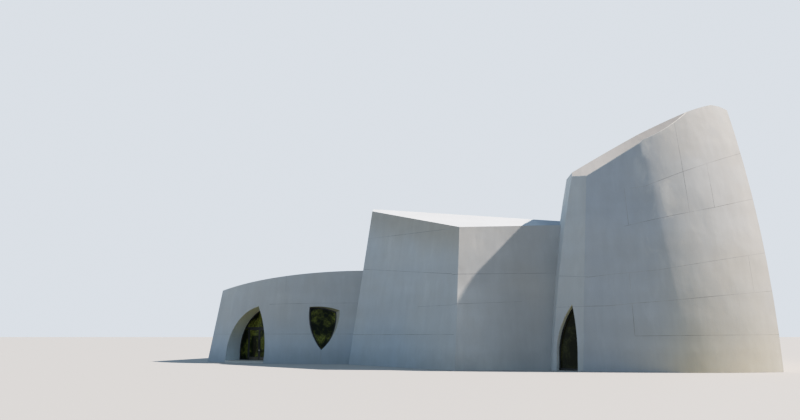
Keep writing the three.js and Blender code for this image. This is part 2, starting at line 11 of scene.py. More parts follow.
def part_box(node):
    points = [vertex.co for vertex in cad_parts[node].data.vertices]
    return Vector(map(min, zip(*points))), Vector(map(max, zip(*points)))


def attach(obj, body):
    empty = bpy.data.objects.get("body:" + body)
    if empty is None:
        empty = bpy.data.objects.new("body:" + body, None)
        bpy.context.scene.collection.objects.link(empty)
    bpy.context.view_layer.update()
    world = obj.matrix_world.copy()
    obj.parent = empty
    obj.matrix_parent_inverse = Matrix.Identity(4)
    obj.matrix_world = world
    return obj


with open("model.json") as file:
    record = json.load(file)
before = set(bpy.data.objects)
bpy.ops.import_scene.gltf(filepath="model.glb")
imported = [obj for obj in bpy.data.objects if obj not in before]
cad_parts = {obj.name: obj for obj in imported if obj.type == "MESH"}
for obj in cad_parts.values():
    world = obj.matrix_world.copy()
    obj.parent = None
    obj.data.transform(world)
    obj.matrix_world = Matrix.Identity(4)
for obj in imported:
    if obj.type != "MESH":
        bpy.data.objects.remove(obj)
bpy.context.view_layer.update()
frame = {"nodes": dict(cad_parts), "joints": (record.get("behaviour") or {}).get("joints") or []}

# Metres, +Z up. The street front faces -Y, with the low wing on its left.
NODES = frame["nodes"]
UP = Vector((0, 0, 1))

# The foot of the middle hall's prow, from which the camera is placed
PROW = Vector((-0.85323, -9.00716, 0.0))

# The two hinged leaves of the entrance, each of them a body of its own
LEAVES = ("entrance_door_left", "entrance_door_right")

# How far the normal of a face may point up: on a wall, and on a bevel, with roofs beyond
WALL_FACE = 0.35
BEVEL_FACE = 0.72

# The corners of a square about its middle
SQUARE = ((-1, -1), (1, -1), (1, 1), (-1, 1))


# ---- Materials ----
class Look:
    """A material with short names for building its shader."""

    def __init__(self, name):
        self.material = bpy.data.materials.new(name)
        self.material.use_nodes = True
        self.nodes = self.material.node_tree.nodes
        self.links = self.material.node_tree.links
        self.bsdf = self.nodes["Principled BSDF"]
        self.place = self.nodes.new("ShaderNodeTexCoord").outputs["Object"]
        self.x, self.y, self.z = self.split(self.place)

    def plug(self, socket, value):
        if isinstance(value, bpy.types.NodeSocket):
            self.links.new(value, socket)
        else:
            socket.default_value = value

    def split(self, vector):
        node = self.nodes.new("ShaderNodeSeparateXYZ")
        self.links.new(vector, node.inputs[0])
        return node.outputs

    def facing(self):
        """How far each flat face looks along X, Y and Z."""
        return self.split(self.nodes.new("ShaderNodeNewGeometry").outputs["True Normal"])

    def distance(self, place):
        """How far each point is from a place."""
        node = self.nodes.new("ShaderNodeVectorMath")
        node.operation = "DISTANCE"
        self.links.new(self.place, node.inputs[0])
        node.inputs[1].default_value = place
        return node.outputs["Value"]

    def math(self, operation, a, b=0.0):
        node = self.nodes.new("ShaderNodeMath")
        node.operation = operation
        self.plug(node.inputs[0], a)
        self.plug(node.inputs[1], b)
        return node.outputs[0]

    def product(self, *values):
        result = values[0]
        for value in values[1:]:
            result = self.math("MULTIPLY", result, value)
        return result

    def step(self, value, low, high, to_low=0.0, to_high=1.0):
        """Runs smoothly from to_low to to_high as a value goes from low to high."""
        node = self.nodes.new("ShaderNodeMapRange")
        node.interpolation_type = "SMOOTHSTEP"
        self.plug(node.inputs["Value"], value)
        node.inputs["From Min"].default_value = low
        node.inputs["From Max"].default_value = high
        node.inputs["To Min"].default_value = to_low
        node.inputs["To Max"].default_value = to_high
        return node.outputs["Result"]

    def from_line(self, axis, spacing):
        """How far a point is from the nearest line across an axis, as a share of their spacing."""
        cell = self.math("FRACT", self.math("DIVIDE", axis, spacing))
        return self.math("ABSOLUTE", self.math("SUBTRACT", cell, 0.5))

    def noise(self, scale, detail, roughness, stretch=(1, 1, 1), turn=(0, 0, 0), warp=0.0):
        mapping = self.nodes.new("ShaderNodeMapping")
        mapping.inputs["Rotation"].default_value = turn
        mapping.inputs["Scale"].default_value = stretch
        self.links.new(self.place, mapping.inputs["Vector"])
        node = self.nodes.new("ShaderNodeTexNoise")
        node.inputs["Scale"].default_value = scale
        node.inputs["Detail"].default_value = detail
        node.inputs["Roughness"].default_value = roughness
        node.inputs["Distortion"].default_value = warp
        self.links.new(mapping.outputs[0], node.inputs["Vector"])
        return node.outputs[0]

    def mix(self, factor, a, b):
        node = self.nodes.new("ShaderNodeMix")
        node.data_type = "RGBA"
        self.plug(node.inputs["Factor"], factor)
        self.plug(node.inputs["A"], a if isinstance(a, bpy.types.NodeSocket) else (*a, 1))
        self.plug(node.inputs["B"], b if isinstance(b, bpy.types.NodeSocket) else (*b, 1))
        return node.outputs["Result"]

    def shade(self, colour, factor):
        node = self.nodes.new("ShaderNodeVectorMath")
        node.operation = "SCALE"
        self.plug(node.inputs[0], colour)
        self.plug(node.inputs["Scale"], factor)
        return node.outputs[0]

    def tint(self, colour, filter_colour):
        node = self.nodes.new("ShaderNodeVectorMath")
        node.operation = "MULTIPLY"
        self.plug(node.inputs[0], colour)
        node.inputs[1].default_value = filter_colour
        return node.outputs[0]

    def bump(self, height, distance, strength=1.0, normal=None):
        node = self.nodes.new("ShaderNodeBump")
        node.inputs["Strength"].default_value = strength
        node.inputs["Distance"].default_value = distance
        self.plug(node.inputs["Height"], height)
        if normal is not None:
            self.links.new(normal, node.inputs["Normal"])
        return node.outputs[0]

    def finish(self, colour, roughness, normal=None, **fixed):
        self.plug(self.bsdf.inputs["Base Color"], colour)
        self.plug(self.bsdf.inputs["Roughness"], roughness)
        if normal is not None:
            self.links.new(normal, self.bsdf.inputs["Normal"])
        for name, value in fixed.items():
            self.bsdf.inputs[name.replace("_", " ")].default_value = value
        return self.material


# Concrete where its clouds are pale and where they are cool: on the walls, inside the pointed
# openings, at the head of these, and inside the shield window. Inside the pointed openings the
# concrete is paler, as painted bounce light, and olive at their head, as painted green bounce
# light; inside the shield window it is darker and olive, as painted shade with painted green
# bounce light
PALE, COOL = (0.62, 0.615, 0.60), (0.565, 0.575, 0.58)
REVEAL_PALE, REVEAL_COOL = (0.94, 0.95, 0.92), (0.90, 0.93, 0.92)
REVEAL_HEAD_GREEN_BOUNCE = (0.92, 0.88, 0.56)
RECESS_SHADE_PALE, RECESS_SHADE_COOL = (0.42, 0.40, 0.31), (0.38, 0.37, 0.31)

# The roof slabs: their white skin, given a blue tint that is painted sky-lit shade, and the
# washed concrete of their bevels
SKIN, BEVEL = (0.58, 0.615, 0.66), (0.63, 0.585, 0.55)

# Filters over a colour: painted shade, bluer, at the foot of the walls; painted shade near the
# sanctuary's fold; painted sunlight in pale warm patches across the fold's turn; soil under the
# hall's roof; and painted shade on that roof next to the sanctuary
FOOT_SHADE_FILTER = (0.84, 0.95, 1.06)
FOLD_SHADE_FILTER = (0.865, 0.91, 0.98)
PAINTED_SUN_FILTER = (1.21, 1.17, 1.12)
SOIL_FILTER = (0.88, 0.82, 0.74)
ROOF_SHADE_FILTER = (0.63, 0.68, 0.74)

# Honed paving, black rubber and bronze, and the joints' filler where it is dark and where pale
STONE, BLACK = (0.55, 0.54, 0.51), (0.014, 0.014, 0.015)
FILLER_DARK, FILLER_PALE = (0.20, 0.205, 0.21), (0.46, 0.465, 0.47)

# Widths of the roof's sheets and of the paving's slabs
ROOF_SHEET, PAVING_SLAB = 2.4, 0.6

# The front slope of the hall's roof: its height over the building's middle and its rise along Y
SLOPE_HEIGHT, SLOPE_RISE = 10.27, 0.3625


def concrete(look, pale, cool, foot_shade=0.80):
    """Fair-faced concrete: clouds, rain streaks, lifts, trowel marks, pores, and painted shade at
    the foot: darker and bluer low down, most towards the wing."""
    clouds = look.noise(0.30, 4.0, 0.55)
    patches = look.noise(1.2, 5.0, 0.6)
    streaks = look.noise(1.0, 4.0, 0.6, stretch=(2.4, 2.4, 0.12))
    strokes = look.noise(1.6, 4.0, 0.65, stretch=(1.0, 1.0, 0.28), turn=(0, math.radians(34), 0))
    lifts = look.noise(0.8, 2.0, 0.5, stretch=(0.12, 0.12, 1.0))
    pores = look.noise(24.0, 4.0, 0.65)
    # Painted shade: the foot darkens in irregular patches, and much less from the hall's prow
    # rightwards
    foot = look.math("ADD", look.z, look.math("MULTIPLY", patches, 0.6))
    shaded_foot = look.step(foot, 0.2, 1.6, foot_shade, 1.0)
    foot_shade_lifted = look.step(look.x, -1.0, 0.5, 0.0, 0.95)
    tone = look.product(
        look.step(clouds, 0.3, 0.7, 0.96, 1.025),
        look.step(patches, 0.3, 0.72, 0.975, 1.02),
        look.step(streaks, 0.3, 0.7, 0.97, 1.02),
        look.step(strokes, 0.52, 0.74, 1.0, 1.05),
        look.step(pores, 0.3, 0.7, 0.98, 1.015),
        look.step(lifts, 0.3, 0.7, 0.965, 1.02),
        look.math("MAXIMUM", shaded_foot, foot_shade_lifted),
    )
    colour = look.mix(look.step(clouds, 0.35, 0.65), pale, cool)
    # Painted shade: low down and from the hall leftwards, the concrete is tinted blue as by sky
    # light
    low_down = look.step(look.z, 0.0, 3.5, 1.0, 0.0)
    blue_shaded_foot = look.product(low_down, look.step(look.x, -4.0, 0.0, 1.0, 0.0))
    colour = look.mix(blue_shaded_foot, colour, look.tint(colour, FOOT_SHADE_FILTER))
    trowelled = look.noise(0.9, 2.0, 0.45, stretch=(1.0, 1.0, 0.6), warp=0.3)
    relief = look.bump(pores, 0.004, 0.25)
    relief = look.bump(patches, 0.02, 0.18, relief)
    relief = look.bump(trowelled, 0.045, 0.50, relief)
    return look.shade(colour, tone), look.step(pores, 0.2, 0.8, 0.80, 0.94), relief


def fold_shade_and_sun(look, wall):
    """Wall concrete that turns cooler and darker towards the sanctuary's folded corner, as painted
    shade, with pale warm patches across the turn as painted sunlight."""
    # Painted shade: cooler and darker towards the fold
    wall = look.mix(look.step(look.x, 8.6, 10.6), look.tint(wall, FOLD_SHADE_FILTER), wall)
    # Painted sunlight: pale warm patches across the turn of the sail wall, where the sun starts to
    # reach it
    sunlit_patches = look.step(look.noise(0.9, 4.0, 0.55, stretch=(1.4, 1.4, 0.7), warp=0.5), 0.46, 0.64)
    across = look.product(look.step(look.x, 8.1, 8.9), look.step(look.x, 9.7, 10.8, 1.0, 0.0))
    sunlit_patches = look.product(sunlit_patches, across, look.step(look.z, 4.0, 7.0))
    return look.mix(sunlit_patches, wall, look.tint(wall, PAINTED_SUN_FILTER))


def prow_light_and_shade(look, wall):
    """The hall's right wall, paler low down near the prow as painted light, and darker towards
    the sanctuary as painted shade.
    """
    low_down = look.step(look.z, 3.7, 4.6, 1.0, 0.0)
    # Painted light low down near the prow, and painted shade towards the sanctuary
    pale_wash_and_prow_light = look.product(look.step(look.x, -0.8, 2.4, 0.22, 0.0), low_down)
    sanctuary_shade = look.step(look.x, 0.6, 3.2, 1.0, 0.85)
    return look.shade(wall, look.product(look.math("ADD", 1.0, pale_wash_and_prow_light), sanctuary_shade))


def soil(look, wall):
    """The hall's left walls, browner in a band under the front slope of the roof."""
    slope = look.math("ADD", look.math("MULTIPLY", look.y, SLOPE_RISE), SLOPE_HEIGHT)
    below = look.math("SUBTRACT", slope, look.z)
    return look.mix(look.step(below, 0.1, 2.2), look.tint(wall, SOIL_FILTER), wall)


def wall_look(name, grade=None):
    """Wall concrete, plain or graded over the length and height of its wall."""
    look = Look(name)
    wall, rough, relief = concrete(look, PALE, COOL)
    return look.finish(grade(look, wall) if grade else wall, rough, relief)


def reveal_colour(look):
    """Paler concrete inside a pointed opening, as painted bounce light, and olive towards its
    head, as painted green bounce light.
    """
    lining, rough, relief = concrete(look, REVEAL_PALE, REVEAL_COOL, foot_shade=1.0)
    head, _, _ = concrete(look, REVEAL_HEAD_GREEN_BOUNCE, REVEAL_HEAD_GREEN_BOUNCE)
    return look.mix(look.step(look.z, 1.0, 3.6), lining, head), rough, relief


def reveal_look(name):
    look = Look(name)
    return look.finish(*reveal_colour(look))


def pierced_wall_look(name):
    """Wall concrete outside, and a paler concrete, as painted bounce light, on the faces inside a
    pointed opening.
    """
    look = Look(name)
    inside = look.math("LESS_THAN", look.math("ABSOLUTE", look.facing()[1]), 0.7)
    lining, _, _ = reveal_colour(look)
    wall, rough, relief = concrete(look, PALE, COOL)
    return look.finish(look.mix(inside, wall, lining), rough, relief)


def shield_wall_look(name):
    """Wall concrete outside, and darker olive concrete on the faces inside the shield window, as
    painted shade with painted green bounce light.
    """
    look = Look(name)
    wall, rough, relief = concrete(look, PALE, COOL)
    recess_shaded, _, _ = concrete(look, RECESS_SHADE_PALE, RECESS_SHADE_COOL)
    inside = look.math("LESS_THAN", look.facing()[0], -0.45)
    return look.finish(look.mix(inside, wall, recess_shaded), rough, relief)


def hall_sides(look, wall):
    """The sides of the hall's roof slab, graded as the walls under them are."""
    along, inward, _ = look.facing()
    wall = look.mix(look.math("LESS_THAN", inward, 0.0), wall, prow_light_and_shade(look, wall))
    return look.mix(look.math("LESS_THAN", along, -0.5), wall, soil(look, wall))


def sanctuary_sides(look, wall):
    """The sides of the sanctuary's roof slab, graded as the walls under them are."""
    return look.mix(look.math("LESS_THAN", look.facing()[0], -0.3), fold_shade_and_sun(look, wall), wall)


def roof_look(name, grade=None, sanctuary_shade=None):
    """A roof slab: white skin on top, washed concrete on steep bevels, and bare concrete sides
    that may be graded. Painted shade may turn the skin darker and cooler between two distances on
    X."""
    look = Look(name)
    wall, rough, relief = concrete(look, PALE, COOL)
    clouds = look.noise(0.45, 4.0, 0.6)
    grain = look.noise(30.0, 3.0, 0.6)
    mottled = look.step(clouds, 0.3, 0.7, 0.94, 1.02)
    tone = look.product(mottled, look.step(grain, 0.3, 0.7, 0.98, 1.01))
    seam = look.step(look.from_line(look.x, ROOF_SHEET), 0.0, 0.006, 0.86, 1.0)
    skin = look.shade(SKIN, look.product(tone, seam))
    # Painted shade: the skin next to the sanctuary turns darker and bluer
    if sanctuary_shade:
        skin = look.mix(look.step(look.x, *sanctuary_shade), skin, look.tint(skin, ROOF_SHADE_FILTER))
    sides = grade(look, wall) if grade else wall
    shaded_end = look.step(look.x, 6.8, 9.5, 1.0, 0.80)
    bevel = look.shade(BEVEL, look.product(tone, shaded_end))
    rise = look.facing()[2]
    colour = look.mix(look.math("GREATER_THAN", rise, WALL_FACE), sides, bevel)
    colour = look.mix(look.math("GREATER_THAN", rise, BEVEL_FACE), colour, skin)
    return look.finish(colour, rough, relief)


def paving_look():
    look = Look("honed_paving")
    grain = look.noise(35.0, 4.0, 0.7)
    patches = look.noise(1.8, 4.0, 0.6)
    gap = look.math("MAXIMUM", *(look.step(look.from_line(axis, PAVING_SLAB), 0.0, 0.008, 1.0, 0.0)
                                 for axis in (look.x, look.y)))
    tone = look.product(
        look.step(grain, 0.3, 0.7, 0.93, 1.05),
        look.step(patches, 0.3, 0.7, 0.94, 1.03),
        look.step(gap, 0.0, 1.0, 1.0, 0.55),
    )
    relief = look.bump(look.math("SUBTRACT", 1.0, gap), 0.003, 0.5, look.bump(grain, 0.002, 0.2))
    roughness = look.step(patches, 0.3, 0.7, 0.45, 0.62)
    return look.finish(look.shade(STONE, tone), roughness, relief)


def metal_look(name, colour, rough, metallic):
    """Anodised or brushed metal: a fine grain along the piece and handled patches."""
    look = Look(name)
    wear = look.noise(14.0, 4.0, 0.6)
    brushed = look.noise(60.0, 3.0, 0.6, stretch=(1, 1, 0.05))
    handled = look.step(wear, 0.35, 0.7, 0.9, 1.15)
    tone = look.product(handled, look.step(brushed, 0.3, 0.7, 0.95, 1.06))
    roughness = look.step(wear, 0.3, 0.7, rough, rough + 0.14)
    relief = look.bump(brushed, 0.0006, 0.3)
    return look.finish(look.shade(colour, tone), roughness, relief, Metallic=metallic)


def glass_look(name, dim, bright):
    """Tinted glass, with broken patches of green painted into its colour as painted reflections.
    """
    look = Look(name)
    waves = look.noise(1.1, 3.0, 0.5)
    patches = look.noise(1.25, 4.0, 0.6, stretch=(1, 1, 0.8), warp=0.4)
    specks = look.noise(15.0, 4.0, 0.7)
    broken = look.step(specks, 0.42, 0.60, 0.30, 1.25)
    painted_reflection = look.product(look.step(patches, 0.45, 0.66), broken)
    roughness = look.step(waves, 0.3, 0.7, 0.03, 0.08)
    relief = look.bump(waves, 0.01, 0.04)
    return look.finish(look.mix(painted_reflection, dim, bright), roughness, relief, Specular_IOR_Level=0.09)


def rubber_look():
    look = Look("black_rubber")
    grain = look.noise(80.0, 3.0, 0.6)
    colour = look.shade(BLACK, look.step(grain, 0.3, 0.7, 0.8, 1.25))
    roughness = look.step(grain, 0.3, 0.7, 0.55, 0.7)
    return look.finish(colour, roughness, look.bump(grain, 0.0006, 0.4))


def joint_look():
    """Cement filler in the casting joints: darker than the wall, and washed pale in places."""
    look = Look("joint_filler")
    pale_wash_and_prow_light = look.noise(0.55, 4.0, 0.65)
    grain = look.noise(30.0, 3.0, 0.6)
    colour = look.mix(look.step(pale_wash_and_prow_light, 0.36, 0.62), FILLER_DARK, FILLER_PALE)
    colour = look.shade(colour, look.step(grain, 0.3, 0.7, 0.9, 1.1))
    roughness = look.step(grain, 0.3, 0.7, 0.8, 0.95)
    return look.finish(colour, roughness, look.bump(grain, 0.002, 0.4))


WALL = wall_look("fair_faced_concrete")
PIERCED_WALL = pierced_wall_look("pierced_wall_concrete")
SHIELD_WALL = shield_wall_look("shield_wall_concrete")
LINING = reveal_look("porch_lining_concrete")
SAIL_WALL = wall_look("sail_wall_concrete", fold_shade_and_sun)
PROW_WALL = wall_look("prow_wall_concrete", prow_light_and_shade)
SOILED_WALL = wall_look("soiled_wall_concrete", soil)
ROOF = roof_look("roof_slab")
HALL_ROOF = roof_look("hall_roof_slab", hall_sides, sanctuary_shade=(3.4, 4.8))
SANCTUARY_ROOF = roof_look("sanctuary_roof_slab", sanctuary_sides)
PAVING = paving_look()
BRONZE = metal_look("dark_bronze_finish", BLACK, 0.36, 0.25)
# The olive of the sheet under the shield window's head is painted green bounce light
BOUNCE_LIT_OLIVE = metal_look("olive_reveal_lining", (0.40, 0.40, 0.24), 0.5, 0.0)
SATIN = metal_look("satin_bronze", (0.10, 0.088, 0.070), 0.30, 0.9)
STEEL = metal_look("brushed_steel", (0.55, 0.55, 0.54), 0.24, 1.0)
FLASHING = metal_look("pale_flashing", (0.78, 0.77, 0.74), 0.45, 0.1)
GLASS = glass_look("tinted_glass", (0.006, 0.009, 0.002), (0.190, 0.205, 0.034))
DARK_GLASS = glass_look("lancet_glass", (0.016, 0.014, 0.004), (0.055, 0.052, 0.016))
RUBBER = rubber_look()
FILLER = joint_look()


def look_of(node):
    if "glass" in node:
        return DARK_GLASS if "lancet" in node else GLASS
    if node.endswith("_frame") or node.startswith("entrance_door"):
        return BRONZE
    if node.endswith("_roof"):
        return {"hall_roof": HALL_ROOF, "sanctuary_roof": SANCTUARY_ROOF}.get(node, ROOF)
    if node.endswith("_floor"):
        return PAVING
    if node.startswith("porch_lining"):
        return LINING
    if node == "wing_front_wall_right":
        return SHIELD_WALL
    if node == "hall_front_right_wall":
        return PROW_WALL
    if node.startswith(("hall_front_left", "hall_left")):
        return SOILED_WALL
    if node in ("sanctuary_front_wall", "sanctuary_sail_wall_left"):
        return SAIL_WALL
    return PIERCED_WALL if node.startswith(("wing_arch_wall", "sanctuary_fold")) else WALL


for name, obj in NODES.items():
    obj.material_slots[0].material = look_of(name)


# ---- Smooth shading of the curved walls ----
# Faces that meet at more than this keep a crease, and corners in one cell of the grid are one
CREASE = math.radians(20)
CORNER_GRID = 0.0015


def shared_normals(names):
    """Corner normals that run smoothly over a curve, also from one node to the next.
    The sanctuary's bevel is shaded as one plane."""
    kind_of = lambda normal: (normal.z > WALL_FACE) + (normal.z > BEVEL_FACE)
    key_of = lambda co: tuple(round(c / CORNER_GRID) for c in co)
    faces_at = defaultdict(list)
    for name in names:
        mesh = NODES[name].data
        for face in mesh.polygons:
            for vertex in face.vertices:
                faces_at[key_of(mesh.vertices[vertex].co)].append((face.normal.copy(), face.area))
    near = [(i, j, k) for i in (-1, 0, 1) for j in (-1, 0, 1) for k in (-1, 0, 1)]
    bevels = sum((normal * area for found in faces_at.values() for normal, area in found
                  if kind_of(normal) == 1), Vector()).normalized()
    normals = {name: [] for name in names}
    for name in names:
        mesh = NODES[name].data
        for face in mesh.polygons:
            if kind_of(face.normal) == 1:
                normals[name] += [bevels] * len(face.vertices)
                continue
            for vertex in face.vertices:
                key = key_of(mesh.vertices[vertex].co)
                total = Vector()
                for step in near:
                    for normal, area in faces_at.get(tuple(map(sum, zip(key, step))), ()):
                        alike = kind_of(normal) == kind_of(face.normal)
                        if alike and normal.dot(face.normal) > math.cos(CREASE):
                            total += normal * area
                normals[name].append(total.normalized() if total.length > 0 else face.normal)
    return normals


CURVED = [n for n in NODES
          if ("wall" in n or "lining" in n or n.endswith("_roof")) and "hall" not in n]
for name, normals in shared_normals(CURVED).items():
    guide_mesh = NODES[name].data.copy()
    guide_mesh.shade_smooth()
    guide_mesh.normals_split_custom_set(normals)
    modifier = NODES[name].modifiers.new("smooth_shading", "DATA_TRANSFER")
    modifier.object = bpy.data.objects.new(f"{name}_guide", guide_mesh)
    modifier.use_loop_data = True
    modifier.data_types_loops = {"CUSTOM_NORMAL"}
    modifier.loop_mapping = "TOPOLOGY"


# ---- Building pieces ----
# The most that a band widens at a corner, and how a plate is bedded and chamfered
WIDEST_MITRE = 2.0
BEDDING, CHAMFER = 0.001, 0.0006


def loft(bm, rings, closed=False):
    """Skins a row of rings, and caps its two ends unless the row closes on itself."""
    for ring, following in zip(rings, rings[1:] + rings[:1] if closed else rings[1:]):
        for k in range(len(ring)):
            j = (k + 1) % len(ring)
            bm.faces.new((ring[k], ring[j], following[j], following[k]))
    if not closed:
        bm.faces.new(rings[0])
        bm.faces.new(rings[-1])


def sweep(bm, path, profile, closed=False):
    """Carries a profile of (across, outward) points along a path of (point, outward normal)."""
    points = [Vector(point) for point, _ in path]
    rings = []
    for i, (point, normal) in enumerate(path):
        before = points[i - 1] if closed or i > 0 else points[i]
        after = points[(i + 1) % len(points)] if closed or i + 1 < len(points) else points[i]
        arriving, leaving = Vector(point) - before, after - Vector(point)
        along = (arriving.normalized() + leaving.normalized()).normalized()
        across = normal.cross(along).normalized()
        run = arriving if arriving.length > 0 else leaving
        mitre = 1 / max(1 / WIDEST_MITRE, along.dot(run.normalized()))
        rings.append([bm.verts.new(Vector(point) + across * (a * mitre) + normal * b)
                      for a, b in profile])
    loft(bm, rings, closed)


def turned(bm, base, profile, axis=UP, steps=20):
    """A lathe-turned solid about an axis through base, from (radius, height) points."""
    turn = UP.rotation_difference(axis).to_matrix()
    angles = [2 * math.pi * i / steps for i in range(steps)]
    loft(bm, [[bm.verts.new(base + turn @ Vector((r * math.cos(t), r * math.sin(t), z)))
               for t in angles] for r, z in profile])


def plate(bm, centre, across, out, width, height, depth):
    """An upright sheet with chamfered edges, bedded on a face at centre."""
    rings = []
    for inset, rise in ((0, -BEDDING), (0, depth - CHAMFER), (CHAMFER, depth)):
        half_width, half_height = width / 2 - inset, height / 2 - inset
        rings.append([bm.verts.new(centre + across * (i * half_width) + UP * (j * half_height)
                                   + out * rise) for i, j in SQUARE])
    loft(bm, rings)


def piece(name, bm, material, body="building", smooth=None):
    """A finished piece on a body, shaded smooth up to an angle in degrees where one is given."""
    bmesh.ops.recalc_face_normals(bm, faces=bm.faces)
    mesh = bpy.data.meshes.new(name)
    bm.to_mesh(mesh)
    bm.free()
    mesh.materials.append(material)
    if smooth is not None:
        mesh.shade_smooth()
        mesh.set_sharp_from_angle(angle=math.radians(smooth))
    obj = bpy.data.objects.new(name, mesh)
    bpy.context.scene.collection.objects.link(obj)
    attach(obj, body)


# ---- Casting joints in the walls ----
# A face with another solid nearer than this in front of it doesn't look out into the open
OPEN_VIEW = 2.6

# In a traced joint: a stretch that is dropped, a gap that is closed, and the shortest path
SLIVER, CLOSED_GAP, SHORTEST_PATH = 0.004, 0.008, 0.05

# The least share of its normal along a direction by which a face looks that way
LOOKS_THERE = 0.3


def all_faces(names):
    """The faces of these nodes, as (corners, normal)."""
    return [([NODES[name].data.vertices[v].co.copy() for v in face.vertices], face.normal.copy())
            for name in names for face in NODES[name].data.polygons]


corners = [co for face, _ in all_faces(NODES) for co in face]
SOLID = BVHTree.FromPolygons(corners, [(i, i + 1, i + 2) for i in range(0, len(corners), 3)])


def outside(mass):
    """The upright faces of a mass that look out into the open."""
    names = [n for n in NODES if n.startswith(mass) and ("wall" in n or n.endswith("_roof"))]
    low = Vector(map(min, *(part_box(n)[0] for n in names)))
    high = Vector(map(max, *(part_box(n)[1] for n in names)))
    found = []
    for face, normal in all_faces(names):
        centre = sum(face, Vector()) / 3
        if abs(normal.z) > WALL_FACE or (centre - (low + high) / 2).dot(normal) < 0:
            continue
        hit, *_ = SOLID.ray_cast(centre + normal * 1e-4, normal, OPEN_VIEW)
        if hit is None:
            found.append((face, normal))
    return found


# The way each elevation is read: the axis that runs along it, and where it faces
ELEVATIONS = {
    "front": (Vector((1, 0, 0)), Vector((0, -1, 0))),
    "back": (Vector((1, 0, 0)), Vector((0, 1, 0))),
    "right": (Vector((0, 1, 0)), Vector((1, 0, 0))),
    "left": (Vector((0, 1, 0)), Vector((-1, 0, 0))),
}


def trace(faces, elevation, start, end):
    """The stretches of these faces under a straight line drawn on an elevation, as paths."""
    across, facing = ELEVATIONS[elevation]
    origin = across * start[0] + UP * start[1]
    run = across * (end[0] - start[0]) + UP * (end[1] - start[1])
    plane = run.cross(facing).normalized()
    share = lambda p: (p - origin).dot(run) / run.length_squared
    pieces = []
    for face, normal in faces:
        far = [(co - origin).dot(plane) for co in face]
        if normal.dot(facing) < LOOKS_THERE or min(far) >= 0 or max(far) < 0:
            continue
        cuts = [face[i].lerp(face[j], far[i] / (far[i] - far[j]))
                for i, j in ((0, 1), (1, 2), (2, 0)) if (far[i] < 0) != (far[j] < 0)]
        first, second = sorted(cuts, key=share)
        low, high = share(first), share(second)
        if high <= 0 or low >= 1 or (second - first).length < SLIVER:
            continue
        clip = lambda t: first.lerp(second, (min(1, max(0, t)) - low) / (high - low))
        pieces.append((max(0, low), clip(low), clip(high), normal))
    paths = []
    for _, first, second, normal in sorted(pieces, key=lambda entry: entry[0]):
        if paths and (first - paths[-1][-1][0]).length < CLOSED_GAP:
            paths[-1][-1][1] = (paths[-1][-1][1] + normal).normalized()
        else:
            paths.append([[first, normal]])
        paths[-1].append([second, normal])
    return [path for path in paths if (path[0][0] - path[-1][0]).length > SHORTEST_PATH]


# A flat band of filler, barely proud of the wall and bedded in it
JOINT_BAND = [(-0.008, 0.0008), (0.008, 0.0008), (0.008, -0.006), (-0.008, -0.006)]

